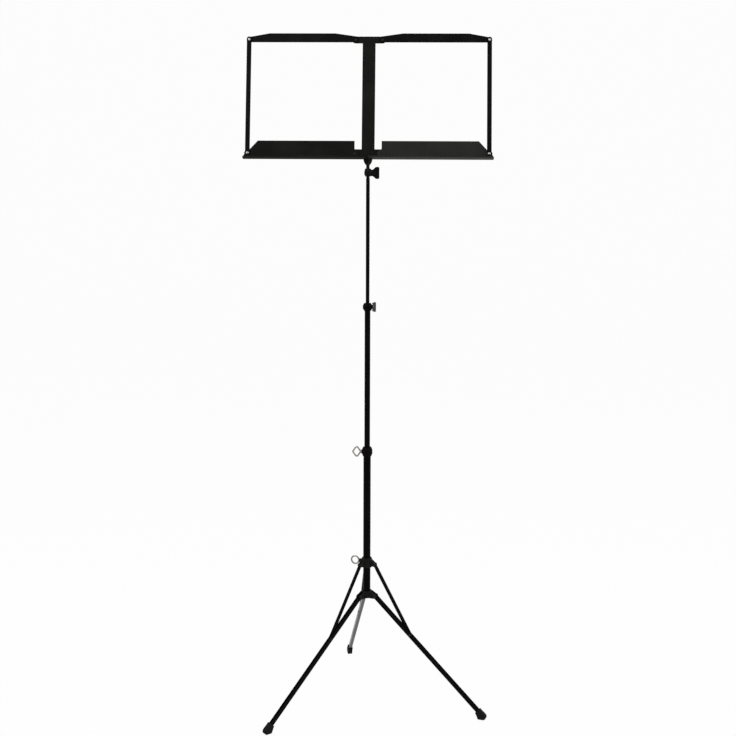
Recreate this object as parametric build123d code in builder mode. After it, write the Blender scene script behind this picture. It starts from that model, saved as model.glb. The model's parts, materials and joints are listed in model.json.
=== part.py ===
from build123d import *
from math import atan2, cos, degrees, hypot, radians, sin, tan
import os

# Folding sheet-music stand: a tripod, a mast of two tubes and a rod, and a folding desk on a tilting head.
# Lengths are millimetres and angles degrees. X runs along the desk, -Y faces the reader, Z is up.
# The origin is on the floor, at the middle of the outline; the mast stands at mast_y on the Y axis.

# ---- Tripod ----
leg_length = 310.0  # leg pivot to the centre of the foot's toe
leg_slope = 43.7  # below the horizontal when the stand is set up
right_leg_azimuth = -19.5  # from +X towards +Y
leg_pivot_radius = 17.8  # from the mast's axis
leg_width = 6.4
leg_depth = 8.0
leg_sheet = 1.0
leg_pin_radius = 1.5
foot_toe_radius = 6.2
foot_length = 15.5  # from the foot's mouth to the toe's centre
foot_sole = 9.5  # flat of the sole, from under the toe's centre back to the heel
foot_wall = 1.6  # rubber beside the leg
foot_cushion = 1.5  # rubber between the leg's end and the toe's centre
foot_edge = 1.2
foot_heel = 1.5  # rounding of the heel

# ---- Struts ----
strut_seat = 101.0  # leg pivot to the strut's lower rivet, along the leg
strut_lift = 0.8  # how far that rivet lies above the channel's middle
strut_width = 3.0
strut_depth = 6.6
strut_pin_radius = 1.4
strut_head_radius = 16.6  # upper strut rivets, from the mast's axis
strut_head_height = 64.4  # upper strut rivets, above the leg pivots

# ---- Hubs ----
hub_wall = 3.1
hub_ear = 2.3
hub_edge = 1.0  # rounding of the hubs' rims towards each other
hub_shoulder = 2.4  # rounding of the leg hub's bottom and of the sliding hub's top
leg_hub_height = 14.4
leg_hub_floor = 3.0
leg_hub_drop = 4.2  # from the leg pivots down to the hub's bottom
leg_ear_radius = 4.2
slide_hub_height = 19.5
slide_hub_drop = 6.1  # from the strut rivets down to the hub's bottom
strut_ear_radius = 3.5
arm_root = 9.2  # where the sliding hub's arms leave its wall, above the strut rivets
hub_screw_drop = 8.4  # ring screw's axis, below the sliding hub's top
hub_boss_radius = 3.9
hub_boss_reach = 5.2  # past the hub's wall

# ---- Mast ----
lower_tube_radius = 7.1
lower_tube_length = 296.8
middle_tube_radius = 5.4
middle_tube_length = 322.3
middle_overlap = 43.0  # of the middle tube inside the lower one, fully drawn out
tube_wall = 0.8
rod_radius = 3.5
rod_length = 285.2
rod_overlap = 45.0  # of the rod inside the middle tube, fully drawn out
bush_floor = 3.0
bush_sleeve = 14.0

# ---- Clamp collars ----
lower_collar_height = 18.0
lower_collar_radius = 10.2
upper_collar_height = 14.6
upper_collar_radius = 9.0
collar_skirt = 1.0  # collar's wall at its lower end
collar_taper = 0.3  # share of a collar's height that each of its tapered ends takes
collar_belly = 2.0  # rounding between a collar's tapers and its belly
collar_edge = 0.5
collar_lip = 4.0  # collar above the end of the tube that it sits on
boss_radius = 4.2
boss_reach = 0.7  # past the collar's belly
insert_radius = 3.0
screw_radius = 2.0
wire_radius = 1.5
loop_height = 22.6  # wire loop of the lower collar's screw, between the corners of its bends
loop_length = 15.6
loop_bend = 3.0
ring_radius = 9.2  # ring of the sliding hub's screw, to its outside
collar_knob_neck = 0.6
collar_knob_flare = 1.2
collar_knob_length = 6.0
collar_knob_span = 18.6
collar_knob_root = 5.0
knob_thickness = 5.0
knob_corner = 0.11  # rounding of a knob's corners, as a share of its span
knob_boss = 0.65  # round boss of a knob, as a share of its length
knob_bore = 0.5  # what is screwed into a knob, as a share of its length
knob_edge = 0.8
screw_flange = 1.2
screw_flange_radius = 3.0
tip_gap = 0.1  # between a screw's tip and what it clamps
tube_hole = 0.4  # hole in a tube's wall, wider than the screw all round

# ---- Head ----
desk_tilt = 15.0  # back from the vertical
head_width = 11.4
head_radius = 6.6
head_gap = 0.5  # between the head's cheeks and the shoulder of the rod
head_front_wall = 1.9
tab_thickness = 6.0
tab_width = 7.4
tab_end_radius = 4.2
tab_taper = 5.0  # of the rod's length, where it is pressed from round to flat
head_edge = 0.6
tilt_bolt_radius = 2.0
tilt_bolt_head_radius = 3.9
tilt_bolt_head_height = 1.0
tilt_knob_neck = 3.2
tilt_knob_flare = 5.8
tilt_knob_length = 15.2
tilt_knob_span = 22.0
tilt_knob_root = 6.0
neck_rivet_radius = 1.0
neck_rivet_rise = 4.2  # above the tilt bolt

# ---- Desk ----
sheet = 1.2
spine_sheet = 1.5
spine_width = 24.0
neck_width = 6.2
pivot_half = 25.0  # inner pivots, from the middle of the desk
reach = 223.5  # outer rivets, from the middle of the desk
shelf_height = 24.4  # shelf's top, above the tilt bolt
pivot_rise = 10.0  # lower rivets above the shelf
desk_height = 214.6  # lower rivets to upper rivets
shelf_depth = 18.0
shelf_corner = 4.0
lip_height = 2.8
shelf_end = 8.0  # shelf beyond the outer rivet
plate_rise = 23.5  # back plate above the lower rivets
plate_chamfer = 16.0  # run of the plate's slanted end
ear_radius = 6.0
lobe_width = 8.0  # stop lobe under the shelf's inner end
lobe_drop = 12.5  # its tip, below the shelf
lobe_tip = 2.6
lobe_bulge = 0.8  # share of the lobe's width that its round side still has
lobe_belly = 0.6  # at this share of the lobe's drop
shelf_inner_corner = 8.0
base_end_radius = 8.0  # round ends of the spine's foot, about the lower pivots
head_end_radius = 6.5  # and of its head, about the upper pivots
centre_gap = 0.4  # between the two halves of the desk
side_bar_width = 8.6
side_bar_thickness = 2.0
side_bar_end = 5.2  # bar beyond its rivets
side_bar_corner = 0.6  # flat left at each side of a bar's round end
arm_end_radius = 5.0
arm_rise = 12.0  # arm's upper edge at its widest, above its rivets
arm_flare = 38.0  # run of the arm's slanted upper edge
rivet_radius = 1.6
rivet_head_radius = 2.6
rivet_head_height = 1.1
rivet_tail_height = 0.6
pin_head_spread = 1.75  # a pin's head, as a share of the pin's radius
pin_head_rise = 0.65  # its height, as a share of the same
flush_head_radius = 2.4
flush_head_slope = 45.0

# ---- Fits ----
slide_clearance = 0.08  # radial, for what slides or turns on a tube
pin_clearance = 0.05  # radial, for what turns on a pin
side_clearance = 0.2  # between flat faces that turn past each other

# ---- Places and angles that follow from the sizes above ----
leg_pivot_height = foot_toe_radius + leg_length * sin(radians(leg_slope))
foot_circle = leg_pivot_radius + leg_length * cos(radians(leg_slope))
azimuths = {
    "right": right_leg_azimuth,
    "rear": right_leg_azimuth + 120.0,
    "left": right_leg_azimuth + 240.0,
}
foot_half_width = leg_width / 2 + foot_wall
toe_reach = foot_circle + foot_toe_radius - foot_edge
toe_half_width = foot_half_width - foot_edge
rear_turn = radians(azimuths["rear"])
front_turn = radians(azimuths["left"])
rear_reach = toe_reach * sin(rear_turn) + toe_half_width * abs(cos(rear_turn))
front_reach = toe_reach * sin(front_turn) - toe_half_width * abs(cos(front_turn))
mast_y = -(rear_reach + front_reach) / 2

leg_hub_bottom = leg_pivot_height - leg_hub_drop
tube_bottom = leg_hub_bottom + leg_hub_floor
lower_tube_top = tube_bottom + lower_tube_length
middle_tube_bottom = lower_tube_top - middle_overlap
middle_tube_top = middle_tube_bottom + middle_tube_length
rod_bottom = middle_tube_top - rod_overlap
rod_shoulder = rod_bottom + rod_length
tilt_height = rod_shoulder + head_radius + head_gap
strut_head_z = leg_pivot_height + strut_head_height
slide_hub_bottom = strut_head_z - slide_hub_drop
hub_radius = lower_tube_radius + hub_wall
lower_bore = lower_tube_radius - tube_wall
middle_bore = middle_tube_radius - tube_wall
leg_gap = leg_width + 2 * side_clearance
strut_gap = strut_width + 2 * side_clearance
lower_collar_bottom = lower_tube_top + collar_lip - lower_collar_height
lower_screw_height = lower_collar_bottom + lower_collar_height / 2
lower_screw_azimuth = 180.0
upper_collar_bottom = middle_tube_top + collar_lip - upper_collar_height
upper_screw_height = upper_collar_bottom + upper_collar_height / 2
upper_screw_azimuth = 0.0
rivet_azimuth = azimuths["right"] + 60.0
rivet_height = leg_hub_bottom + leg_hub_height / 2 + leg_hub_floor / 2
slot_half = tab_thickness / 2 + side_clearance
rivet_row = shelf_height + pivot_rise
upper_row = rivet_row + desk_height
plate_layer = side_clearance
plate_face = plate_layer + sheet
bar_layer = plate_face + side_clearance
bar_face = bar_layer + side_bar_thickness
flush_depth = (flush_head_radius - rivet_radius) / tan(radians(flush_head_slope))


mast_axis = Axis((0, mast_y, 0), (0, 0, 1))


def radial_plane(azimuth, height=0.0):
    """An upright plane on the mast's axis: X runs outwards at the azimuth and Y runs up."""
    turn = radians(azimuth)
    return Plane(
        origin=(0, mast_y, height), x_dir=(cos(turn), sin(turn), 0), z_dir=(sin(turn), -cos(turn), 0)
    )


def link_plane(azimuth, radius, height, slope):
    """A radial plane moved to a pivot, with its X axis at a slope above the horizontal."""
    radial = radial_plane(azimuth)
    along = radial.x_dir * cos(radians(slope)) + radial.y_dir * sin(radians(slope))
    origin = radial.origin + radial.x_dir * radius + radial.y_dir * height
    return Plane(origin=origin, x_dir=along, z_dir=radial.z_dir)


def screw_plane(azimuth, height, radius):
    """A plane across a radial screw: its Z axis points away from the mast and its Y axis up."""
    radial = radial_plane(azimuth)
    origin = radial.origin + radial.x_dir * radius + radial.y_dir * height
    return Plane(origin=origin, x_dir=-radial.z_dir, z_dir=radial.x_dir)


def mast_plane(height):
    """A level plane on the mast's axis."""
    return Plane(origin=(0, mast_y, height))


def desk_plane(depth=0.0):
    """The desk's plane at a depth in front of the spine: X runs right, Y up the desk."""
    tilt = radians(desk_tilt)
    front = Vector(0, -cos(tilt), sin(tilt))
    origin = Vector(0, mast_y, tilt_height) + front * (head_radius + spine_sheet + depth)
    return Plane(origin=origin, x_dir=(1, 0, 0), z_dir=front)


def desk_point(across, up, depth=0.0):
    """The desk's plane moved to a point of the desk."""
    face = desk_plane(depth)
    centre = face.origin + face.x_dir * across + face.y_dir * up
    return Plane(origin=centre, x_dir=face.x_dir, z_dir=face.z_dir)


def flipped(plane):
    """The same plane, facing the other way."""
    return Plane(origin=plane.origin, x_dir=plane.x_dir, z_dir=-plane.z_dir)


def head_plane(across=0.0):
    """A plane across the tilt bolt: X runs to the back of the desk and Y up the desk."""
    tilt = radians(desk_tilt)
    return Plane(
        origin=(across, mast_y, tilt_height), x_dir=(0, cos(tilt), -sin(tilt)), z_dir=(1, 0, 0)
    )


def dome(base, radius, height):
    """Adds a domed rivet head that stands on a plane."""
    section = Plane(origin=base.origin, x_dir=base.x_dir, z_dir=-base.y_dir)
    with BuildSketch(section) as half_head:
        with BuildLine():
            Line((0, height), (0, 0))
            Line((0, 0), (radius, 0))
            TangentArc((0, height), (radius, 0), tangent=(1, 0))
        make_face()
    revolve(half_head.sketch, axis=Axis(base.origin, base.z_dir))


def pin_head(base, pin_radius):
    """Adds the domed head of a plain pin or rivet that stands on a plane."""
    dome(base, pin_head_spread * pin_radius, pin_head_rise * pin_radius)


slope = radians(leg_slope)
strut_foot_radius = leg_pivot_radius + strut_seat * cos(slope) + strut_lift * sin(slope)
strut_foot_rise = strut_lift * cos(slope) - strut_seat * sin(slope)
strut_rise = strut_head_height - strut_foot_rise
strut_run = strut_foot_radius - strut_head_radius
strut_length = hypot(strut_run, strut_rise)
strut_slope = degrees(atan2(strut_rise, -strut_run))

os.makedirs("parts", exist_ok=True)

# ---- Leg hub: a cup under the lower tube with three forked lugs ----
with BuildPart() as leg_hub:
    with BuildSketch(mast_plane(leg_hub_bottom)):
        Circle(hub_radius)
    extrude(amount=leg_hub_height)
    rims = leg_hub.edges().filter_by(GeomType.CIRCLE).sort_by(Axis.Z)
    fillet(rims[0], radius=hub_shoulder)
    fillet(rims[-1], radius=hub_edge)
    for azimuth in azimuths.values():
        radial = radial_plane(azimuth, leg_pivot_height)
        with BuildSketch(radial):
            with Locations((leg_pivot_radius, 0)):
                Circle(leg_ear_radius)
            with BuildLine():
                Polyline(
                    (lower_tube_radius, leg_hub_height - leg_hub_drop - hub_edge),
                    (hub_radius, leg_hub_height - leg_hub_drop - hub_edge),
                    (leg_pivot_radius, leg_ear_radius),
                    (leg_pivot_radius, -leg_ear_radius),
                    (lower_tube_radius, -leg_ear_radius),
                    close=True,
                )
            make_face()
        extrude(amount=leg_gap / 2 + hub_ear, both=True)
        with BuildSketch(radial):
            with Locations((hub_radius, 0)):
                Rectangle(leg_hub_height, 3 * leg_hub_height, align=(Align.MIN, Align.CENTER))
        extrude(amount=leg_gap / 2, both=True, mode=Mode.SUBTRACT)
        with BuildSketch(radial):
            with Locations((leg_pivot_radius, 0)):
                Circle(leg_pin_radius)
        extrude(amount=leg_gap / 2 + hub_ear, both=True, mode=Mode.SUBTRACT)
    with BuildSketch(mast_plane(tube_bottom)):
        Circle(lower_tube_radius)
    extrude(amount=leg_hub_height, mode=Mode.SUBTRACT)
    with BuildSketch(screw_plane(rivet_azimuth, rivet_height, 0)):
        Circle(rivet_radius)
    extrude(amount=2 * hub_radius, mode=Mode.SUBTRACT)
leg_hub.part.label = "leg_hub"
export_step(leg_hub.part, "parts/leg_hub.step")

with BuildPart() as leg_pivot_pins:
    for azimuth in azimuths.values():
        pivot = link_plane(azimuth, leg_pivot_radius, leg_pivot_height, 0)
        half = leg_gap / 2 + hub_ear
        with BuildSketch(pivot):
            Circle(leg_pin_radius)
        extrude(amount=half, both=True)
        pin_head(pivot.offset(half), leg_pin_radius)
        pin_head(flipped(pivot.offset(-half)), leg_pin_radius)
leg_pivot_pins.part.label = "leg_pivot_pins"
export_step(leg_pivot_pins.part, "parts/leg_pivot_pins.step")

# ---- Legs, feet and struts ----
leg_end = leg_length - foot_cushion
foot_mouth = leg_length - foot_length
foot_half_depth = leg_depth / 2 + foot_wall
toe_top = (leg_length, foot_toe_radius)
sole_front = (
    leg_length + foot_toe_radius * sin(radians(leg_slope)),
    -foot_toe_radius * cos(radians(leg_slope)),
)
sole_heel = (
    sole_front[0] - foot_sole * cos(radians(leg_slope)),
    sole_front[1] - foot_sole * sin(radians(leg_slope)),
)
for side, azimuth in azimuths.items():
    along_leg = link_plane(azimuth, leg_pivot_radius, leg_pivot_height, -leg_slope)
    leg_axis = Axis(along_leg.origin, along_leg.x_dir)

    with BuildPart() as leg:
        with BuildSketch(along_leg):
            Circle(leg_depth / 2)
            Rectangle(leg_end, leg_depth, align=(Align.MIN, Align.CENTER))
        extrude(amount=leg_width / 2, both=True)
        fillet(leg.edges().filter_by(leg_axis), radius=leg_sheet / 2)
        with BuildSketch(along_leg):
            with Locations((-leg_depth, -leg_depth / 2 + leg_sheet)):
                Rectangle(leg_end + 2 * leg_depth, leg_depth, align=(Align.MIN, Align.MIN))
        extrude(amount=leg_width / 2 - leg_sheet, both=True, mode=Mode.SUBTRACT)
        with BuildSketch(along_leg):
            Circle(leg_pin_radius + pin_clearance)
            with Locations((strut_seat, strut_lift)):
                Circle(strut_pin_radius)
        extrude(amount=leg_width, both=True, mode=Mode.SUBTRACT)
    leg.part.label = f"leg_{side}"
    export_step(leg.part, f"parts/leg_{side}.step")

    with BuildPart() as foot:
        with BuildSketch(along_leg) as boot:
            with BuildLine():
                Polyline(
                    sole_front,
                    sole_heel,
                    (foot_mouth, -foot_half_depth),
                    (foot_mouth, foot_half_depth),
                    toe_top,
                )
                CenterArc((leg_length, 0), foot_toe_radius, leg_slope - 90, 180 - leg_slope)
            make_face()
            heel = boot.vertices().sort_by_distance(along_leg.from_local_coords(sole_heel))[0]
            fillet(heel, radius=foot_heel)
        extrude(amount=foot_half_width, both=True)
        sides = foot.faces().filter_by(along_leg)
        fillet(sides.edges(), radius=foot_edge)
        with BuildSketch(along_leg):
            with Locations((foot_mouth, 0)):
                Rectangle(leg_end - foot_mouth, leg_depth, align=(Align.MIN, Align.CENTER))
        extrude(amount=leg_width / 2, both=True, mode=Mode.SUBTRACT)
    foot.part.label = f"foot_{side}"
    export_step(foot.part, f"parts/foot_{side}.step")

    along_strut = link_plane(
        azimuth, strut_foot_radius, leg_pivot_height + strut_foot_rise, strut_slope
    )
    with BuildPart() as strut:
        with BuildSketch(along_strut):
            with Locations((strut_length / 2, 0)):
                SlotCenterToCenter(strut_length, strut_depth)
            Circle(strut_pin_radius + pin_clearance, mode=Mode.SUBTRACT)
            with Locations((strut_length, 0)):
                Circle(strut_pin_radius + pin_clearance, mode=Mode.SUBTRACT)
        extrude(amount=strut_width / 2, both=True)
    strut.part.label = f"strut_{side}"
    export_step(strut.part, f"parts/strut_{side}.step")

    half = leg_width / 2
    with BuildPart() as strut_rivet:
        with BuildSketch(along_strut):
            Circle(strut_pin_radius)
        extrude(amount=half, both=True)
        pin_head(along_strut.offset(half), strut_pin_radius)
        pin_head(flipped(along_strut.offset(-half)), strut_pin_radius)
    strut_rivet.part.label = f"strut_rivet_{side}"
    export_step(strut_rivet.part, f"parts/strut_rivet_{side}.step")

# ---- Sliding hub: a sleeve on the lower tube that carries the struts' heads and the ring screw ----
hub_screw_azimuth = azimuths["right"] + 180.0
hub_screw_height = slide_hub_bottom + slide_hub_height - hub_screw_drop
hub_boss_end = hub_radius + hub_boss_reach
with BuildPart() as slide_hub:
    with BuildSketch(mast_plane(slide_hub_bottom)):
        Circle(hub_radius)
    extrude(amount=slide_hub_height)
    rims = slide_hub.edges().filter_by(GeomType.CIRCLE).sort_by(Axis.Z)
    fillet(rims[0], radius=hub_edge)
    fillet(rims[-1], radius=hub_shoulder)
    for azimuth in azimuths.values():
        radial = radial_plane(azimuth, strut_head_z)
        with BuildSketch(radial):
            with Locations((strut_head_radius, 0)):
                Circle(strut_ear_radius)
            with BuildLine():
                Polyline(
                    (lower_tube_radius, arm_root),
                    (hub_radius, arm_root),
                    (strut_head_radius, strut_ear_radius),
                    (strut_head_radius, -strut_ear_radius),
                    (lower_tube_radius, -strut_ear_radius),
                    close=True,
                )
            make_face()
        extrude(amount=strut_gap / 2 + hub_ear, both=True)
        with BuildSketch(radial):
            with Locations((hub_radius, 0)):
                Rectangle(slide_hub_height, 2 * slide_hub_height, align=(Align.MIN, Align.CENTER))
        extrude(amount=strut_gap / 2, both=True, mode=Mode.SUBTRACT)
        with BuildSketch(radial):
            with Locations((strut_head_radius, 0)):
                Circle(strut_pin_radius)
        extrude(amount=strut_gap / 2 + hub_ear, both=True, mode=Mode.SUBTRACT)
    with BuildSketch(screw_plane(hub_screw_azimuth, hub_screw_height, lower_tube_radius)):
        Circle(hub_boss_radius)
    extrude(amount=hub_boss_end - lower_tube_radius)
    with BuildSketch(mast_plane(slide_hub_bottom)):
        Circle(lower_tube_radius + slide_clearance)
    extrude(amount=slide_hub_height, mode=Mode.SUBTRACT)
    with BuildSketch(screw_plane(hub_screw_azimuth, hub_screw_height, 0)):
        Circle(insert_radius)
    extrude(amount=hub_boss_end, mode=Mode.SUBTRACT)
slide_hub.part.label = "slide_hub"
export_step(slide_hub.part, "parts/slide_hub.step")

with BuildPart() as strut_head_rivets:
    for azimuth in azimuths.values():
        pivot = link_plane(azimuth, strut_head_radius, strut_head_z, 0)
        inner = strut_gap / 2
        outer = inner + hub_ear
        for end in (pivot.z_dir, -pivot.z_dir):
            ear = Plane(origin=pivot.origin + end * inner, x_dir=pivot.x_dir, z_dir=end)
            with BuildSketch(ear):
                Circle(strut_pin_radius)
            extrude(amount=hub_ear)
            pin_head(ear.offset(hub_ear), strut_pin_radius)
strut_head_rivets.part.label = "strut_head_rivets"
export_step(strut_head_rivets.part, "parts/strut_head_rivets.step")


def wing_outline(root, neck, flare, length, span):
    """The outline of a wing knob: X runs along its screw, Y across the wings."""
    tip = span / 2
    with BuildSketch() as outline:
        with BuildLine():
            Polyline(
                (0, 0),
                (0, root),
                (neck, root),
                (neck + flare, tip),
                (length, tip),
                (length, 0),
                close=True,
            )
        make_face()
        mirror(about=Plane.XZ)
        rows = outline.vertices().group_by(Axis.Y)
        fillet(rows[0] + rows[-1], radius=knob_corner * span)
    return outline.sketch


# ---- Lower tube and the rivet that holds it in the leg hub ----
with BuildPart() as lower_tube:
    with BuildSketch(mast_plane(tube_bottom)):
        Circle(lower_tube_radius)
        Circle(lower_bore, mode=Mode.SUBTRACT)
    extrude(amount=lower_tube_length)
    with BuildSketch(screw_plane(lower_screw_azimuth, lower_screw_height, 0)):
        Circle(screw_radius + tube_hole)
    extrude(amount=lower_tube_radius, mode=Mode.SUBTRACT)
    with BuildSketch(screw_plane(rivet_azimuth, rivet_height, 0)):
        Circle(rivet_radius)
    extrude(amount=lower_tube_radius, mode=Mode.SUBTRACT)
lower_tube.part.label = "lower_tube"
export_step(lower_tube.part, "parts/lower_tube.step")

with BuildPart() as hub_rivet:
    with BuildSketch(screw_plane(rivet_azimuth, rivet_height, lower_bore)):
        Circle(rivet_radius)
    extrude(amount=tube_wall + hub_wall)
    dome(screw_plane(rivet_azimuth, rivet_height, hub_radius), rivet_head_radius, rivet_head_height)
hub_rivet.part.label = "hub_rivet"
export_step(hub_rivet.part, "parts/hub_rivet.step")

# ---- Ring screw and insert of the sliding hub ----
insert_bore = screw_radius + pin_clearance
with BuildPart() as slide_hub_insert:
    with BuildSketch(screw_plane(hub_screw_azimuth, hub_screw_height, 0)):
        Circle(insert_radius)
        Circle(insert_bore, mode=Mode.SUBTRACT)
    extrude(amount=hub_boss_end)
    with BuildSketch(mast_plane(slide_hub_bottom)):
        Circle(lower_tube_radius + slide_clearance)
    extrude(amount=slide_hub_height, mode=Mode.SUBTRACT)
slide_hub_insert.part.label = "slide_hub_insert"
export_step(slide_hub_insert.part, "parts/slide_hub_insert.step")

ring_flange_start = hub_boss_end + side_clearance
ring_centre = ring_flange_start + screw_flange + ring_radius - wire_radius
ring_tip = lower_tube_radius + tip_gap
with BuildPart() as ring_screw:
    with BuildSketch(screw_plane(hub_screw_azimuth, hub_screw_height, ring_tip)):
        Circle(screw_radius)
    extrude(amount=ring_flange_start + screw_flange - ring_tip)
    with BuildSketch(screw_plane(hub_screw_azimuth, hub_screw_height, ring_flange_start)):
        Circle(screw_flange_radius)
    extrude(amount=screw_flange)
    wire_plane = link_plane(hub_screw_azimuth, ring_centre, hub_screw_height, 0)
    with BuildSketch(Plane(wire_plane.origin, x_dir=wire_plane.x_dir, z_dir=wire_plane.y_dir)):
        with Locations((wire_radius - ring_radius, 0)):
            Circle(wire_radius)
    revolve(axis=Axis(wire_plane.origin, wire_plane.z_dir))
ring_screw.part.label = "ring_screw"
export_step(ring_screw.part, "parts/ring_screw.step")

# ---- Clamp collars on the ends of both tubes, each with its threaded insert ----
lower_boss_end = lower_collar_radius + boss_reach
upper_boss_end = upper_collar_radius + boss_reach
collars = (
    (
        "lower_collar",
        lower_tube_radius,
        middle_tube_radius,
        lower_collar_radius,
        lower_collar_height,
        lower_collar_bottom,
        lower_screw_azimuth,
    ),
    (
        "upper_collar",
        middle_tube_radius,
        rod_radius,
        upper_collar_radius,
        upper_collar_height,
        upper_collar_bottom,
        upper_screw_azimuth,
    ),
)
for name, seat_radius, slide_radius, belly, height, bottom, azimuth in collars:
    end_radius = seat_radius + collar_skirt
    taper = collar_taper * height
    across_screw = screw_plane(azimuth, bottom + height / 2, 0)
    with BuildPart() as collar:
        with BuildSketch(radial_plane(azimuth, bottom)) as half_collar:
            with BuildLine():
                Polyline(
                    (0, 0),
                    (end_radius, 0),
                    (belly, taper),
                    (belly, height - taper),
                    (end_radius, height),
                    (0, height),
                    close=True,
                )
            make_face()
            fillet(half_collar.vertices().group_by(Axis.X)[-1], radius=collar_belly)
        revolve(axis=mast_axis)
        fillet(collar.edges().filter_by(GeomType.CIRCLE).group_by(Axis.Z)[0], radius=collar_edge)
        fillet(collar.edges().filter_by(GeomType.CIRCLE).group_by(Axis.Z)[-1], radius=collar_edge)
        with BuildSketch(across_screw.offset(seat_radius)):
            Circle(boss_radius)
        extrude(amount=belly + boss_reach - seat_radius)
        with BuildSketch(mast_plane(bottom)):
            Circle(seat_radius)
        extrude(amount=height - collar_lip, mode=Mode.SUBTRACT)
        with BuildSketch(mast_plane(bottom)):
            Circle(slide_radius + slide_clearance)
        extrude(amount=height, mode=Mode.SUBTRACT)
        with BuildSketch(across_screw):
            Circle(insert_radius)
        extrude(amount=belly + boss_reach, mode=Mode.SUBTRACT)
    collar.part.label = name
    export_step(collar.part, f"parts/{name}.step")

    with BuildPart() as insert:
        with BuildSketch(across_screw):
            Circle(insert_radius)
            Circle(insert_bore, mode=Mode.SUBTRACT)
        extrude(amount=belly + boss_reach)
        with BuildSketch(mast_plane(bottom)):
            Circle(seat_radius)
        extrude(amount=height, mode=Mode.SUBTRACT)
    insert.part.label = f"{name}_insert"
    export_step(insert.part, f"parts/{name}_insert.step")

# ---- Wire-loop screw of the lower collar ----
loop_start = lower_boss_end + side_clearance + screw_flange
loop_tip = middle_tube_radius + tip_gap
with BuildPart() as lower_collar_screw:
    with BuildSketch(screw_plane(lower_screw_azimuth, lower_screw_height, loop_tip)):
        Circle(screw_radius)
    extrude(amount=loop_start + wire_radius - loop_tip)
    with BuildSketch(
        screw_plane(lower_screw_azimuth, lower_screw_height, lower_boss_end + side_clearance)
    ):
        Circle(screw_flange_radius)
    extrude(amount=screw_flange)
    with BuildLine(radial_plane(lower_screw_azimuth, lower_screw_height)) as loop_line:
        FilletPolyline(
            (loop_start + loop_length / 2, -loop_height / 2),
            (loop_start + loop_length, 0),
            (loop_start + loop_length / 2, loop_height / 2),
            (loop_start, 0),
            radius=loop_bend,
            close=True,
        )
    with BuildSketch(loop_line.line ^ 0):
        Circle(wire_radius)
    sweep()
lower_collar_screw.part.label = "lower_collar_screw"
export_step(lower_collar_screw.part, "parts/lower_collar_screw.step")

# ---- Bush, middle tube ----
with BuildPart() as middle_tube_bush:
    with BuildSketch(mast_plane(middle_tube_bottom - bush_floor)):
        Circle(lower_bore - slide_clearance)
    extrude(amount=bush_floor + bush_sleeve)
    with BuildSketch(mast_plane(middle_tube_bottom)):
        Circle(middle_tube_radius + slide_clearance)
    extrude(amount=bush_sleeve, mode=Mode.SUBTRACT)
middle_tube_bush.part.label = "middle_tube_bush"
export_step(middle_tube_bush.part, "parts/middle_tube_bush.step")

with BuildPart() as middle_tube:
    with BuildSketch(mast_plane(middle_tube_bottom)):
        Circle(middle_tube_radius)
        Circle(middle_bore, mode=Mode.SUBTRACT)
    extrude(amount=middle_tube_length)
    with BuildSketch(screw_plane(upper_screw_azimuth, upper_screw_height, 0)):
        Circle(screw_radius + tube_hole)
    extrude(amount=middle_tube_radius, mode=Mode.SUBTRACT)
middle_tube.part.label = "middle_tube"
export_step(middle_tube.part, "parts/middle_tube.step")

# ---- Stud and wing knob of the upper collar ----
upper_knob_start = upper_boss_end + side_clearance
stud_tip = rod_radius + tip_gap
stud_end = upper_knob_start + knob_bore * collar_knob_length
with BuildPart() as upper_collar_screw:
    with BuildSketch(screw_plane(upper_screw_azimuth, upper_screw_height, stud_tip)):
        Circle(screw_radius)
    extrude(amount=stud_end - stud_tip)
upper_collar_screw.part.label = "upper_collar_screw"
export_step(upper_collar_screw.part, "parts/upper_collar_screw.step")

with BuildPart() as upper_collar_knob:
    with BuildSketch(link_plane(upper_screw_azimuth, upper_knob_start, upper_screw_height, 0)):
        add(
            wing_outline(
                collar_knob_root,
                collar_knob_neck,
                collar_knob_flare,
                collar_knob_length,
                collar_knob_span,
            )
        )
    extrude(amount=knob_thickness / 2, both=True)
    fillet(upper_collar_knob.faces().filter_by(Axis.Y).edges(), radius=knob_edge)
    with BuildSketch(screw_plane(upper_screw_azimuth, upper_screw_height, upper_knob_start)):
        Circle(collar_knob_root)
    extrude(amount=knob_boss * collar_knob_length)
    with BuildSketch(screw_plane(upper_screw_azimuth, upper_screw_height, 0)):
        Circle(screw_radius)
    extrude(amount=stud_end, mode=Mode.SUBTRACT)
upper_collar_knob.part.label = "upper_collar_knob"
export_step(upper_collar_knob.part, "parts/upper_collar_knob.step")

# ---- Bush and top rod ----
with BuildPart() as rod_bush:
    with BuildSketch(mast_plane(rod_bottom - bush_floor)):
        Circle(middle_bore - slide_clearance)
    extrude(amount=bush_floor + bush_sleeve)
    with BuildSketch(mast_plane(rod_bottom)):
        Circle(rod_radius + slide_clearance)
    extrude(amount=bush_sleeve, mode=Mode.SUBTRACT)
rod_bush.part.label = "rod_bush"
export_step(rod_bush.part, "parts/rod_bush.step")

with BuildPart() as top_rod:
    with BuildSketch(mast_plane(rod_bottom)):
        Circle(rod_radius)
    extrude(amount=rod_length - tab_taper)
    with BuildSketch(mast_plane(rod_shoulder - tab_taper)):
        Circle(rod_radius)
    with BuildSketch(mast_plane(rod_shoulder)):
        Rectangle(tab_thickness, tab_width)
    loft()
    with BuildSketch(Plane(origin=(0, mast_y, tilt_height), x_dir=(0, 1, 0), z_dir=(1, 0, 0))):
        Circle(tab_end_radius)
        with Locations((0, -head_radius - head_gap)):
            Rectangle(tab_width, head_radius + head_gap, align=(Align.CENTER, Align.MIN))
        Circle(tilt_bolt_radius + pin_clearance, mode=Mode.SUBTRACT)
    extrude(amount=tab_thickness / 2, both=True)
top_rod.part.label = "top_rod"
export_step(top_rod.part, "parts/top_rod.step")

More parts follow.
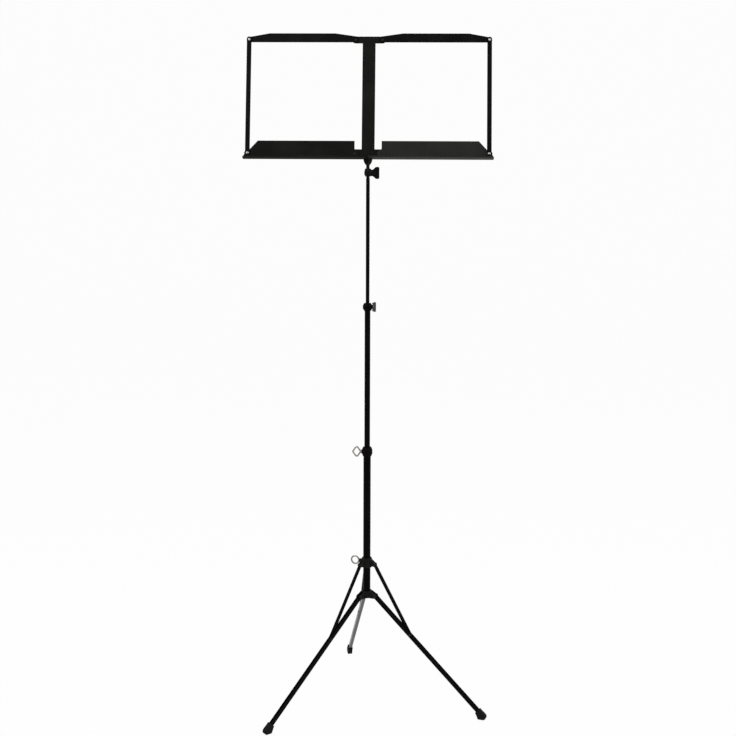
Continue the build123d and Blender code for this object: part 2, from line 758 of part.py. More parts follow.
# ---- Tilting head ----
with BuildPart() as tilt_block:
    with BuildSketch(head_plane()):
        Circle(head_radius)
        Rectangle(head_radius, head_radius, align=(Align.MAX, Align.MIN))
    extrude(amount=head_width / 2, both=True)
    fillet(tilt_block.edges().filter_by(Axis.X, reverse=True), radius=head_edge)
    with BuildSketch(head_plane()):
        with Locations((head_front_wall - head_radius, head_radius - head_front_wall)):
            Rectangle(2 * head_radius, 3 * head_radius, align=(Align.MIN, Align.MAX))
    extrude(amount=slot_half, both=True, mode=Mode.SUBTRACT)
    with BuildSketch(head_plane()):
        Circle(tilt_bolt_radius)
    extrude(amount=head_width, both=True, mode=Mode.SUBTRACT)
    with BuildSketch(desk_plane(-spine_sheet)):
        with Locations((0, neck_rivet_rise)):
            Circle(neck_rivet_radius)
    extrude(amount=-(head_front_wall - side_clearance), mode=Mode.SUBTRACT)
tilt_block.part.label = "tilt_block"
export_step(tilt_block.part, "parts/tilt_block.step")

knob_start = head_width / 2 + side_clearance
knob_bore_end = knob_start + knob_bore * tilt_knob_length
with BuildPart() as tilt_bolt:
    with BuildSketch(head_plane(-head_width / 2)):
        Circle(tilt_bolt_radius)
    extrude(amount=head_width / 2 + knob_bore_end - side_clearance)
    with BuildSketch(head_plane(-head_width / 2)):
        Circle(tilt_bolt_head_radius)
    extrude(amount=-tilt_bolt_head_height)
    fillet(tilt_bolt.edges().group_by(Axis.X)[0], radius=tilt_bolt_head_height / 2)
tilt_bolt.part.label = "tilt_bolt"
export_step(tilt_bolt.part, "parts/tilt_bolt.step")

with BuildPart() as tilt_nut:
    with BuildSketch(head_plane(knob_start)):
        Circle(insert_radius + pin_clearance)
        Circle(tilt_bolt_radius + pin_clearance, mode=Mode.SUBTRACT)
    extrude(amount=knob_bore_end - knob_start)
tilt_nut.part.label = "tilt_nut"
export_step(tilt_nut.part, "parts/tilt_nut.step")

with BuildPart() as tilt_knob:
    with BuildSketch(
        Plane(origin=(knob_start, mast_y, tilt_height), x_dir=(1, 0, 0), z_dir=(0, -1, 0))
    ):
        add(
            wing_outline(
                tilt_knob_root, tilt_knob_neck, tilt_knob_flare, tilt_knob_length, tilt_knob_span
            )
        )
    extrude(amount=knob_thickness / 2, both=True)
    fillet(tilt_knob.faces().filter_by(Axis.Y).edges(), radius=knob_edge)
    with BuildSketch(head_plane(knob_start)):
        Circle(tilt_knob_root)
    extrude(amount=knob_boss * tilt_knob_length)
    with BuildSketch(head_plane(knob_start)):
        Circle(insert_radius + pin_clearance)
    extrude(amount=knob_bore_end - knob_start, mode=Mode.SUBTRACT)
tilt_knob.part.label = "tilt_knob"
export_step(tilt_knob.part, "parts/tilt_knob.step")

# ---- Desk: spine and its rivets ----
with BuildPart() as desk_spine:
    with BuildSketch(desk_plane(-spine_sheet)):
        with Locations((0, rivet_row)):
            SlotCenterToCenter(2 * pivot_half, 2 * base_end_radius)
            Rectangle(spine_width, desk_height, align=(Align.CENTER, Align.MIN))
        with Locations((0, upper_row)):
            SlotCenterToCenter(2 * pivot_half, 2 * head_end_radius)
        Rectangle(neck_width, rivet_row, align=(Align.CENTER, Align.MIN))
        with Locations((0, neck_rivet_rise)):
            Circle(neck_rivet_radius, mode=Mode.SUBTRACT)
    extrude(amount=spine_sheet)
    with BuildSketch(desk_plane()):
        with Locations((0, (rivet_row + upper_row) / 2)):
            with GridLocations(2 * pivot_half, desk_height, 2, 2):
                Circle(rivet_radius)
    extrude(amount=-spine_sheet, mode=Mode.SUBTRACT)
desk_spine.part.label = "desk_spine"
export_step(desk_spine.part, "parts/desk_spine.step")

with BuildPart() as neck_rivet:
    with BuildSketch(desk_plane()):
        with Locations((0, neck_rivet_rise)):
            Circle(neck_rivet_radius)
    extrude(amount=-(spine_sheet + head_front_wall - side_clearance))
    pin_head(desk_point(0, neck_rivet_rise), neck_rivet_radius)
neck_rivet.part.label = "neck_rivet"
export_step(neck_rivet.part, "parts/neck_rivet.step")

with BuildPart() as spine_rivets:
    for across in (-pivot_half, pivot_half):
        for up in (rivet_row, upper_row):
            back = desk_point(across, up, -spine_sheet)
            with BuildSketch(back):
                Circle(rivet_radius)
            extrude(amount=spine_sheet + plate_face)
            dome(flipped(back), rivet_head_radius, rivet_head_height)
            with BuildSketch(desk_point(across, up, plate_face)):
                Circle(flush_head_radius)
            extrude(amount=-flush_depth, taper=flush_head_slope)
spine_rivets.part.label = "spine_rivets"
export_step(spine_rivets.part, "parts/spine_rivets.step")


def write_pair(name, piece):
    """Labels and writes a right-hand piece, and its mirror image on the left."""
    with BuildPart() as left_piece:
        mirror(piece, about=Plane.YZ)
    piece.label = f"right_{name}"
    left_piece.part.label = f"left_{name}"
    export_step(piece, f"parts/right_{name}.step")
    export_step(left_piece.part, f"parts/left_{name}.step")


# ---- Desk: right half, with the left half as its mirror image ----
shelf_tip = reach + shelf_end
plate_top = rivet_row + plate_rise
lip_rise = lip_height - sheet
shelf_plane = Plane(
    origin=desk_point(0, shelf_height, plate_layer).origin,
    x_dir=(1, 0, 0),
    z_dir=desk_plane().y_dir,
)
with BuildPart() as ledge:
    with BuildSketch(desk_plane(plate_layer)):
        with BuildLine():
            Polyline(
                (centre_gap / 2, shelf_height - sheet),
                (shelf_tip, shelf_height - sheet),
                (shelf_tip, shelf_height + pivot_rise / 2),
                (reach, rivet_row + ear_radius),
                (reach - ear_radius / 2, rivet_row + ear_radius),
                (reach - ear_radius / 2 - plate_chamfer, plate_top),
                (pivot_half, plate_top),
                (pivot_half, rivet_row),
                (pivot_half - base_end_radius, shelf_height + ear_radius),
                (centre_gap / 2, shelf_height + ear_radius),
                close=True,
            )
        make_face()
        with Locations((pivot_half, rivet_row)):
            Circle(base_end_radius)
        with Locations((reach, rivet_row)):
            Circle(ear_radius)
        with BuildLine():
            Polyline(
                (centre_gap / 2 + lobe_width, shelf_height - sheet),
                (centre_gap / 2, shelf_height - sheet),
                (centre_gap / 2, shelf_height - lobe_drop),
                (centre_gap / 2 + lobe_tip, shelf_height - lobe_drop),
            )
            ThreePointArc(
                (centre_gap / 2 + lobe_tip, shelf_height - lobe_drop),
                (centre_gap / 2 + lobe_bulge * lobe_width, shelf_height - lobe_belly * lobe_drop),
                (centre_gap / 2 + lobe_width, shelf_height - sheet),
            )
        make_face()
    extrude(amount=sheet)
    with BuildSketch(shelf_plane) as shelf:
        with Locations((centre_gap / 2, 0)):
            Rectangle(shelf_tip - centre_gap / 2, sheet + shelf_depth, align=(Align.MIN, Align.MAX))
        front_corners = shelf.vertices().group_by(Axis.Y)[0].sort_by(Axis.X)
        fillet(front_corners[-1], radius=shelf_corner)
        fillet(front_corners[0], radius=shelf_inner_corner)
    extrude(amount=-sheet)
    with BuildSketch(shelf_plane):
        with Locations((centre_gap / 2 + shelf_inner_corner, -sheet - shelf_depth)):
            Rectangle(
                shelf_tip - centre_gap / 2 - shelf_inner_corner - shelf_corner,
                sheet,
                align=(Align.MIN, Align.MIN),
            )
    extrude(amount=lip_rise)
    with BuildSketch(desk_plane(plate_layer)):
        with Locations((pivot_half, rivet_row)):
            Circle(rivet_radius + pin_clearance)
        with Locations((reach, rivet_row)):
            Circle(rivet_radius)
    extrude(amount=sheet, mode=Mode.SUBTRACT)
    with BuildSketch(desk_plane(plate_face)):
        with Locations((pivot_half, rivet_row)):
            Circle(flush_head_radius + pin_clearance)
    extrude(amount=-flush_depth, taper=flush_head_slope, mode=Mode.SUBTRACT)
write_pair("ledge", ledge.part)

with BuildPart() as ledge_rivet:
    back = desk_point(reach, rivet_row, plate_layer)
    with BuildSketch(back):
        Circle(rivet_radius)
    extrude(amount=bar_face + side_clearance - plate_layer)
    dome(flipped(back), rivet_head_radius, rivet_tail_height)
    dome(back.offset(bar_face + side_clearance - plate_layer), rivet_head_radius, rivet_head_height)
write_pair("ledge_rivet", ledge_rivet.part)

with BuildPart() as side_bar:
    with BuildSketch(desk_plane(bar_layer)):
        with Locations((reach, (rivet_row + upper_row) / 2)):
            RectangleRounded(
                side_bar_width, desk_height + 2 * side_bar_end, side_bar_width / 2 - side_bar_corner
            )
        with Locations((reach, rivet_row)):
            Circle(rivet_radius + pin_clearance, mode=Mode.SUBTRACT)
        with Locations((reach, upper_row)):
            Circle(rivet_radius, mode=Mode.SUBTRACT)
    extrude(amount=side_bar_thickness)
write_pair("side_bar", side_bar.part)

with BuildPart() as side_bar_rivet:
    front = desk_point(reach, upper_row, bar_face)
    shank = bar_face - plate_layer + side_clearance
    with BuildSketch(front):
        Circle(rivet_radius)
    extrude(amount=-shank)
    dome(front, rivet_head_radius, rivet_head_height)
    dome(flipped(front.offset(-shank)), rivet_head_radius, rivet_tail_height)
write_pair("side_bar_rivet", side_bar_rivet.part)

with BuildPart() as upper_arm:
    with BuildSketch(desk_plane(plate_layer)):
        with BuildLine():
            Polyline(
                (pivot_half, upper_row - arm_end_radius),
                (reach, upper_row - arm_end_radius),
                (reach, upper_row + arm_end_radius),
                (reach - arm_flare, upper_row + arm_rise),
                (pivot_half + arm_flare, upper_row + arm_rise),
                (pivot_half, upper_row + head_end_radius),
                close=True,
            )
        make_face()
        with Locations((reach, upper_row)):
            Circle(arm_end_radius)
        with Locations((pivot_half, upper_row)):
            Circle(head_end_radius)
        with Locations((pivot_half, upper_row), (reach, upper_row)):
            Circle(rivet_radius + pin_clearance, mode=Mode.SUBTRACT)
    extrude(amount=sheet)
    with BuildSketch(desk_plane(plate_face)):
        with Locations((pivot_half, upper_row)):
            Circle(flush_head_radius + pin_clearance)
    extrude(amount=-flush_depth, taper=flush_head_slope, mode=Mode.SUBTRACT)
write_pair("upper_arm", upper_arm.part)
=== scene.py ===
"""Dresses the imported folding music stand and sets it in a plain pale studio.

Every length in the file is in metres unless its name says millimetres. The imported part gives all
places: the classes below read them from the nodes' boxes and from the joints, and add the finish
and the small forms that pressing, moulding, plating and painting leave on each piece.
"""

import json
import logging
import math
from collections.abc import Callable
from dataclasses import dataclass, field
from enum import Enum

import bmesh
import bpy
from mathutils import Matrix, Vector


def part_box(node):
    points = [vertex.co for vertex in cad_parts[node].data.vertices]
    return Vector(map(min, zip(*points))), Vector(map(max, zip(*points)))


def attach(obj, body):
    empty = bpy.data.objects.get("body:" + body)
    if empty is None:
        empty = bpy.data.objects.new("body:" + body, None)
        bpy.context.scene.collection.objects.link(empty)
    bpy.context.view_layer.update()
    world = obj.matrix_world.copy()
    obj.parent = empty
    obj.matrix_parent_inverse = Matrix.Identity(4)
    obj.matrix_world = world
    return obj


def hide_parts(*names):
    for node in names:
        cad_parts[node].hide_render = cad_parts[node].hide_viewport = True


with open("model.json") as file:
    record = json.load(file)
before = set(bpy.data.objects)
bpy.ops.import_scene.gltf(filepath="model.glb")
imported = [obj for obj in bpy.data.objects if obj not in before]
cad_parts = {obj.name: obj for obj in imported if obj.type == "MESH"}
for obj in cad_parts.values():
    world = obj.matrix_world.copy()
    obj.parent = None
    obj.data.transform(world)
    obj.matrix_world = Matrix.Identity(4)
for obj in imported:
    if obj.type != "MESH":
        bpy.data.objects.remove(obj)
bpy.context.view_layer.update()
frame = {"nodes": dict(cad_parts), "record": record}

MM = 0.001

logging.basicConfig(level=logging.INFO, format="%(levelname)s %(message)s")
log = logging.getLogger("music_stand")


# ---- Named choices ----


class Leg(Enum):
    """The legs of the tripod, in the order in which they are made."""

    RIGHT = "right"
    REAR = "rear"
    LEFT = "left"


class Wing(Enum):
    """The folding halves of the desk, in the order in which they are made."""

    RIGHT = "right"
    LEFT = "left"


class Lay(Enum):
    """The way a fine pattern is drawn out, as its scale along X, Y and Z."""

    EVEN = (1.0, 1.0, 1.0)
    UPRIGHT = (1.0, 1.0, 0.05)


class Edge(Enum):
    """The eased edges that each way of making leaves, as their width in millimetres."""

    PIN = 0.12
    TURNED = 0.15
    FORMED = 0.2
    MOULDED = 0.25
    SHEET = 0.3
    STRIP = 0.35


# ---- Colour and node helpers ----


def linear(hex_colour: str) -> tuple[float, float, float, float]:
    """Turns an sRGB hex colour into the linear colour that a shader takes.

    Args:
        hex_colour: six hex digits.

    Returns:
        Linear red, green and blue, and an alpha of 1.
    """
    channels = [int(hex_colour[i : i + 2], 16) / 255 for i in (0, 2, 4)]
    red, green, blue = [c / 12.92 if c <= 0.04045 else ((c + 0.055) / 1.055) ** 2.4 for c in channels]
    return (red, green, blue, 1.0)


def add(tree: bpy.types.NodeTree, kind: str, links: dict | None = None, **settings: object) -> bpy.types.Node:
    """Adds one node to a tree, with its settings and the links into it.

    Args:
        tree: the node tree that gets the node.
        kind: the node's type, without the word that all shader nodes' types start with.
        links: input name or number to the socket that feeds it.
        settings: values by attribute name, or by input name with spaces as underscores.

    Returns:
        The new node.
    """
    node = tree.nodes.new(f"Shader{kind}")
    for name, value in settings.items():
        if hasattr(node, name):
            setattr(node, name, value)
        else:
            node.inputs[name.replace("_", " ")].default_value = value
    for name, socket in (links or {}).items():
        tree.links.new(socket, node.inputs[name])
    return node


def empty_tree(owner: bpy.types.Material | bpy.types.World) -> bpy.types.NodeTree:
    """Gives a material or a world an empty node tree.

    Args:
        owner: the material or the world.

    Returns:
        Its tree, with no nodes.
    """
    owner.use_nodes = True
    owner.node_tree.nodes.clear()
    return owner.node_tree


# ---- Finishes ----


@dataclass(frozen=True)
class Patches:
    """How an even noise is cut into patches of wear, dust or colour.

    Attributes:
        start: the noise's value where a patch begins; it is near a half on average.
        full: its value where the patch is complete.
        strength: how worn a complete patch is, from 0 to 1.
        detail: how many finer layers a patch has.
        lay: the way the patches are drawn out.
    """

    start: float
    full: float
    strength: float
    detail: float
    lay: Lay = Lay.EVEN

    def over(
        self, tree: bpy.types.NodeTree, place: bpy.types.NodeSocket, spacing_mm: float
    ) -> bpy.types.NodeSocket:
        """Adds the patches to a material.

        Args:
            tree: the material's tree.
            place: the object coordinates.
            spacing_mm: the size of a patch.

        Returns:
            0 between the patches, up to their strength inside them.
        """
        drawn = add(tree, "NodeMapping", {"Vector": place}, Scale=self.lay.value).outputs["Vector"]
        scale = 1 / (spacing_mm * MM)
        noise = add(tree, "NodeTexNoise", {"Vector": drawn}, Scale=scale, Detail=self.detail)
        cut = add(
            tree,
            "NodeMapRange",
            {"Value": noise.outputs["Fac"]},
            From_Min=self.start,
            From_Max=self.full,
            To_Max=self.strength,
        )
        return cut.outputs["Result"]


RUBBED = Patches(0.45, 0.75, 1.0, 4.0)
DUST_SPECKS = Patches(0.68, 0.74, 0.7, 3.0)
SLIDE_LINES = Patches(0.52, 0.68, 1.0, 2.0, Lay.UPRIGHT)
FLOW_BANDS = Patches(0.3, 0.8, 1.0, 3.0)
GRAIN_DETAIL = 2.0


def faded(
    tree: bpy.types.NodeTree, place: bpy.types.NodeSocket, start: float, reach_mm: float, strength: float
) -> bpy.types.NodeSocket:
    """Gives a strength that fades out upwards.

    Args:
        tree: the material's tree.
        place: the object coordinates.
        start: the height where it is full.
        reach_mm: how far above that it ends.
        strength: its value where it is full.

    Returns:
        The strength at each height.
    """
    height = add(tree, "NodeSeparateXYZ", {"Vector": place}).outputs["Z"]
    end = start + reach_mm * MM
    fade = add(
        tree, "NodeMapRange", {"Value": height}, From_Min=start, From_Max=end, To_Min=strength, To_Max=0.0
    )
    return fade.outputs["Result"]


@dataclass(frozen=True)
class Finish:
    """What every finish has.

    Attributes:
        name: the material's name.
        colour: its main colour, as sRGB hex.
        worn: the colour of its rubbed or dusty patches, as sRGB hex.
        roughness: the shader's roughness on clean surface.
        rough_spread: how much the roughness rises in the patches.
        level: the shader's specular level; a bare metal keeps the default.
        grain_mm: spacing of the surface's bumps.
        grain_depth_mm: height of those bumps.
        patch_mm: size of the rubbed or dusty patches.
    """

    name: str
    colour: str
    worn: str
    roughness: float
    rough_spread: float
    level: float
    grain_mm: float
    grain_depth_mm: float
    patch_mm: float

    @property
    def metallic(self) -> float:
        """Gives the shader's metallic value."""
        return 0.0

    def wear(self, tree: bpy.types.NodeTree, place: bpy.types.NodeSocket) -> bpy.types.NodeSocket:
        """Gives the share of worn surface: 0 where it is clean, up to 1 where it is worn."""
        return RUBBED.over(tree, place, self.patch_mm)

    def build(self) -> bpy.types.Material:
        """Makes the material.

        Returns:
            A node material on object coordinates.
        """
        material = bpy.data.materials.new(self.name)
        tree = empty_tree(material)
        place = add(tree, "NodeTexCoord").outputs["Object"]
        grain_scale = 1 / (self.grain_mm * MM)
        grain = add(tree, "NodeTexNoise", {"Vector": place}, Scale=grain_scale, Detail=GRAIN_DETAIL)
        depth = self.grain_depth_mm * MM
        bump = add(tree, "NodeBump", {"Height": grain.outputs["Fac"]}, Strength=1.0, Distance=depth)
        wear = self.wear(tree, place)
        tint = add(tree, "NodeMix", {"Factor": wear}, data_type="RGBA")
        tints = {socket.identifier: socket for socket in (*tint.inputs, *tint.outputs)}
        tints["A_Color"].default_value = linear(self.colour)
        tints["B_Color"].default_value = linear(self.worn)
        worn_roughness = self.roughness + self.rough_spread
        rough = add(tree, "NodeMapRange", {"Value": wear}, To_Min=self.roughness, To_Max=worn_roughness)
        shader = add(
            tree,
            "NodeBsdfPrincipled",
            {
                "Base Color": tints["Result_Color"],
                "Roughness": rough.outputs["Result"],
                "Normal": bump.outputs["Normal"],
            },
            Metallic=self.metallic,
            Specular_IOR_Level=self.level,
        )
        add(tree, "NodeOutputMaterial", {"Surface": shader.outputs["BSDF"]})
        return material


@dataclass(frozen=True)
class Enamel(Finish):
    """Baked black enamel with a faint orange peel and fine settled dust.

    Attributes:
        dust_mm: spacing of the specks of dust.
    """

    dust_mm: float = 2.2

    def wear(self, tree: bpy.types.NodeTree, place: bpy.types.NodeSocket) -> bpy.types.NodeSocket:
        """Adds specks of dust to the rubbed patches.

        Args:
            tree: the material's tree.
            place: the object coordinates.

        Returns:
            The share of rubbed or dusty surface.
        """
        rubbed = super().wear(tree, place)
        specks = DUST_SPECKS.over(tree, place, self.dust_mm)
        return add(tree, "NodeMath", {0: rubbed, 1: specks}, operation="MAXIMUM").outputs[0]


@dataclass(frozen=True)
class SlideEnamel(Enamel):
    """The enamel of a tube that slides in a collar, rubbed in fine upright lines above that collar.

    Real rub lines are a tenth of a millimetre apart; these are drawn coarser, so that they show.

    Attributes:
        start: height of the collar's mouth.
        rub_mm: how far up the rubbing reaches.
        rub_strength: how worn the lines are at the collar's mouth.
        line_mm: spacing of the rubbed lines.
    """

    start: float = 0.0
    rub_mm: float = 120.0
    rub_strength: float = 0.8
    line_mm: float = 0.7

    def wear(self, tree: bpy.types.NodeTree, place: bpy.types.NodeSocket) -> bpy.types.NodeSocket:
        """Adds rubbed upright lines that fade out above the collar.

        Args:
            tree: the material's tree.
            place: the object coordinates.

        Returns:
            The share of rubbed or dusty surface.
        """
        dusty = super().wear(tree, place)
        lines = SLIDE_LINES.over(tree, place, self.line_mm)
        fade = faded(tree, place, self.start, self.rub_mm, self.rub_strength)
        rubbed = add(tree, "NodeMath", {0: lines, 1: fade}, operation="MULTIPLY").outputs[0]
        return add(tree, "NodeMath", {0: dusty, 1: rubbed}, operation="MAXIMUM").outputs[0]


@dataclass(frozen=True)
class Moulded(Finish):
    """A moulded plastic with a spark-eroded grain and darker and lighter flow bands.

    The grain of a real tool is about a tenth of a millimetre; it is drawn coarser, so that it shows.
    """

    def wear(self, tree: bpy.types.NodeTree, place: bpy.types.NodeSocket) -> bpy.types.NodeSocket:
        """Softens the patches, because a moulding is coloured all through."""
        return FLOW_BANDS.over(tree, place, self.patch_mm)


@dataclass(frozen=True)
class SoleRubber(Moulded):
    """A moulded rubber that dust greys next to the floor.

    Attributes:
        dust_height_mm: how far up the dust reaches.
        dust_strength: how dusty the rubber is at the floor.
    """

    dust_height_mm: float = 3.0
    dust_strength: float = 0.9

    def wear(self, tree: bpy.types.NodeTree, place: bpy.types.NodeSocket) -> bpy.types.NodeSocket:
        """Adds the dust along the sole.

        Args:
            tree: the material's tree.
            place: the object coordinates.

        Returns:
            The share of pale or dusty surface.
        """
        pores = super().wear(tree, place)
        dust = faded(tree, place, 0.0, self.dust_height_mm, self.dust_strength)
        return add(tree, "NodeMath", {0: pores, 1: dust}, operation="MAXIMUM").outputs[0]


@dataclass(frozen=True)
class Plated(Finish):
    """A bright metal plate or a turned metal with slight tarnish."""

    @property
    def metallic(self) -> float:
        """Gives the shader's metallic value."""
        return 1.0


PLAIN_LEVEL = 0.5

# Baked enamel on drawn tube: a deep even black, with hardly any sheen.
TUBE_ENAMEL = Enamel("black_enamel_on_tube", "030303", "0a0a0b", 0.34, 0.12, 0.03, 1.6, 0.010, 60.0)
# The same enamel on folded strip lies a little rougher, so that the legs look flatter than the mast.
LEG_ENAMEL = Enamel("black_enamel_on_folded_steel", "030303", "0c0c0d", 0.44, 0.12, 0.04, 1.4, 0.012, 35.0)
# Painted light: a lit copy of the leg enamel for the rear leg alone, a little lighter and much glossier, so
# that this leg looks greyer under the light than the other two; its underside mirrors the pale floor.
LIT_REAR_LEG_ENAMEL = Enamel("leg_enamel_lit_copy", "0a0a0a", "141415", 0.26, 0.10, 0.50, 1.4, 0.008, 35.0)
# Matt enamel on the desk's sheet steel: a soft charcoal black without highlights.
DESK_ENAMEL = Enamel("black_enamel_on_sheet", "161615", "20201e", 0.68, 0.10, 0.03, 1.2, 0.010, 50.0)
# Painted light: a lit copy of the desk enamel for the right half alone, lighter and a little glossier,
# standing in for the brighter light on that half.
LIT_RIGHT_DESK_ENAMEL = Enamel("desk_enamel_lit_copy", "1c1c1a", "282824", 0.56, 0.10, 0.12, 1.2, 0.012, 50.0)
# Enamel on flat bar: nearly as deep a black as the tubes.
BAR_ENAMEL = Enamel("black_enamel_on_bar", "050505", "101010", 0.44, 0.10, 0.05, 1.2, 0.010, 40.0)
# Die-cast zinc under black paint: coarser than the tubes, because the paint follows the cast skin.
CAST_PAINT = Enamel("black_paint_on_casting", "070707", "121212", 0.50, 0.12, 0.09, 0.9, 0.030, 12.0)
# Moulded nylon of the hubs: a satin black that goes grey where it faces the light.
HUB_PLASTIC = Moulded("moulded_hub_plastic", "060606", "0f0f0f", 0.46, 0.10, 0.10, 0.5, 0.012, 18.0)
# The collars' nylon is darker and has less sheen than the hubs'.
COLLAR_PLASTIC = Moulded("moulded_collar_plastic", "030303", "0a0a0a", 0.44, 0.10, 0.03, 0.5, 0.012, 18.0)
# Moulded ABS of the tilt knob: a dull black with a fine grain.
KNOB_PLASTIC = Moulded("moulded_knob_plastic", "040404", "0d0d0d", 0.50, 0.10, 0.06, 0.45, 0.020, 10.0)
# Acetal bushes inside the tubes: dark grey and slightly waxy.
BUSH_PLASTIC = Moulded("moulded_bush_plastic", "2a2a2b", "333334", 0.50, 0.08, 0.30, 0.5, 0.010, 12.0)
# Moulded rubber: matt, with a pale bloom of dust along the sole.
FOOT_RUBBER = SoleRubber("moulded_foot_rubber", "070707", "181817", 0.74, 0.12, 0.12, 0.6, 0.030, 9.0)
# Painted highlight: the small knob is given a mid grey, lighter than the other black mouldings, standing in
# for the highlight that lies on it.
HIGHLIGHT_GREY_KNOB = Moulded("knob_plastic_painted_highlight", "3a3a38", "555550", 0.50, 0.10, 0.20, 0.45, 0.020, 6.0)
# Nickel plate on drawn wire: a warm white metal.
NICKEL = Plated("nickel_plated_wire", "8f8c85", "77746d", 0.28, 0.12, PLAIN_LEVEL, 0.35, 0.006, 5.0)
# Zinc plate on the outer rivets: cooler and duller than nickel.
BRIGHT_RIVET = Plated("zinc_plated_rivet", "9c9d9e", "828384", 0.34, 0.12, PLAIN_LEVEL, 0.4, 0.008, 3.0)
# Rivets enamelled with the parts that they join: black, with a small highlight on the dome.
BLACK_RIVET = Enamel("black_enamelled_rivet", "0a0a0a", "161616", 0.42, 0.12, 0.16, 0.5, 0.010, 4.0)
# Turned brass: warm yellow metal, slightly tarnished.
BRASS = Plated("turned_brass_insert", "b08d45", "96763a", 0.30, 0.12, PLAIN_LEVEL, 0.3, 0.006, 3.0)

FINISHES = {
    "tube_enamel": TUBE_ENAMEL,
    "leg_enamel": LEG_ENAMEL,
    "desk_enamel": DESK_ENAMEL,
    "cast_block": CAST_PAINT,
    "hub_plastic": HUB_PLASTIC,
    "collar_plastic": COLLAR_PLASTIC,
    "knob_plastic": KNOB_PLASTIC,
    "bush_plastic": BUSH_PLASTIC,
    "foot_rubber": FOOT_RUBBER,
    "nickel_wire": NICKEL,
    "bright_rivet": BRIGHT_RIVET,
    "black_rivet": BLACK_RIVET,
    "brass_insert": BRASS,
}


# ---- Shapes ----


class Shape:
    """One mesh in the making, in the part's own frame.

    Attributes:
        MERGE_MM: points of a copied node that are closer than this become one.
        SEAM_MM: points of a turned form that are closer than this become one.
        FLAT_DEG: faces of a copied node that differ by less than this become one.
        CUT_MM: a cut passes through a point that is closer than this.
        LINE_SHARES: places of the cuts across a line, as shares of half its width.
        INSIDE: the share of half a line's width within which points are lifted.
        BAR_STEPS: facets across a bar's rounded edge.
        TURNED_STEPS: facets round a turned form.
    """

    MERGE_MM = 0.002
    SEAM_MM = 0.001
    FLAT_DEG = 0.5
    CUT_MM = 0.0005
    LINE_SHARES = (-1.0, -0.5, 0.0, 0.5, 1.0)
    INSIDE = 0.99
    BAR_STEPS = 3
    TURNED_STEPS = 32

    def __init__(self) -> None:
        """Starts with nothing in the mesh."""
        self.mesh = bmesh.new()

    @classmethod
    def copied(cls, node: str) -> "Shape":
        """Starts from a merged copy of a CAD node.

        Args:
            node: the node's name.

        Returns:
            The shape.
        """
        shape = cls()
        shape.mesh.from_mesh(frame["nodes"][node].data)
        bmesh.ops.remove_doubles(shape.mesh, verts=shape.mesh.verts, dist=cls.MERGE_MM * MM)
        bmesh.ops.dissolve_limit(
            shape.mesh,
            angle_limit=math.radians(cls.FLAT_DEG),
            verts=shape.mesh.verts,
            edges=shape.mesh.edges,
            delimit=set(),
        )
        return shape

    def line(
        self,
        place: Vector,
        across: Vector,
        width_mm: float,
        height_mm: float,
        where: Callable[[Vector], bool],
    ) -> None:
        """Raises a rounded line along the plane through a point, or sinks it where the height is negative.

        Args:
            place: a point on the plane.
            across: the plane's normal.
            width_mm: the line's width.
            height_mm: its height.
            where: tells whether the line is made at a point of the surface.
        """
        normal = across.normalized()
        half = width_mm * MM / 2
        for share in self.LINE_SHARES:
            bmesh.ops.bisect_plane(
                self.mesh,
                geom=self.mesh.verts[:] + self.mesh.edges[:] + self.mesh.faces[:],
                plane_co=place + normal * (share * half),
                plane_no=normal,
                dist=self.CUT_MM * MM,
            )
        self.mesh.normal_update()
        lifts = []
        for vert in self.mesh.verts:
            share = (vert.co - place).dot(normal) / half
            if abs(share) < self.INSIDE and where(vert.co):
                lifts.append((vert, vert.normal * (height_mm * MM * (1 - share * share))))
        for vert, lift in lifts:
            vert.co += lift

    def bar(self, middle: Vector, size: Vector, ease_mm: float) -> None:
        """Adds a small bar with rounded edges.

        Args:
            middle: its centre.
            size: its lengths along X, Y and Z.
            ease_mm: radius of its edges.
        """
        scale = Matrix.Diagonal((*size, 1.0))
        made = bmesh.ops.create_cube(self.mesh, size=1.0, matrix=Matrix.Translation(middle) @ scale)
        edges = list({edge for vert in made["verts"] for edge in vert.link_edges})
        bmesh.ops.bevel(
            self.mesh,
            geom=edges,
            offset=ease_mm * MM,
            offset_type="OFFSET",
            segments=self.BAR_STEPS,
            profile=0.5,
            affect="EDGES",
            material=-1,
        )

    def turned(self, profile: list[tuple[float, float]], centre: Vector, axis: Vector) -> None:
        """Adds a form turned about an axis, as on a lathe.

        Args:
            profile: radius and height in millimetres of each point, from the axis at one end to
                the axis at the other.
            centre: where height is nought.
            axis: the direction of the height.
        """
        up = axis.normalized()
        out = up.orthogonal().normalized()
        points = [self.mesh.verts.new(centre + out * (r * MM) + up * (h * MM)) for r, h in profile]
        edges = [self.mesh.edges.new(pair) for pair in zip(points, points[1:])]
        bmesh.ops.spin(
            self.mesh,
            geom=points + edges,
            cent=centre,
            axis=up,
            angle=math.tau,
            steps=self.TURNED_STEPS,
            use_merge=True,
        )
        bmesh.ops.remove_doubles(self.mesh, verts=self.mesh.verts, dist=self.SEAM_MM * MM)
        bmesh.ops.recalc_face_normals(self.mesh, faces=self.mesh.faces)

    def finished(self, name: str) -> bpy.types.Object:
        """Turns the mesh into an object of the scene.

        Args:
            name: the object's name.

        Returns:
            The object, at the origin and smooth shaded.
        """
        mesh = bpy.data.meshes.new(name)
        self.mesh.to_mesh(mesh)
        self.mesh.free()
        mesh.shade_smooth()
        piece = bpy.data.objects.new(name, mesh)
        bpy.context.scene.collection.objects.link(piece)
        return piece


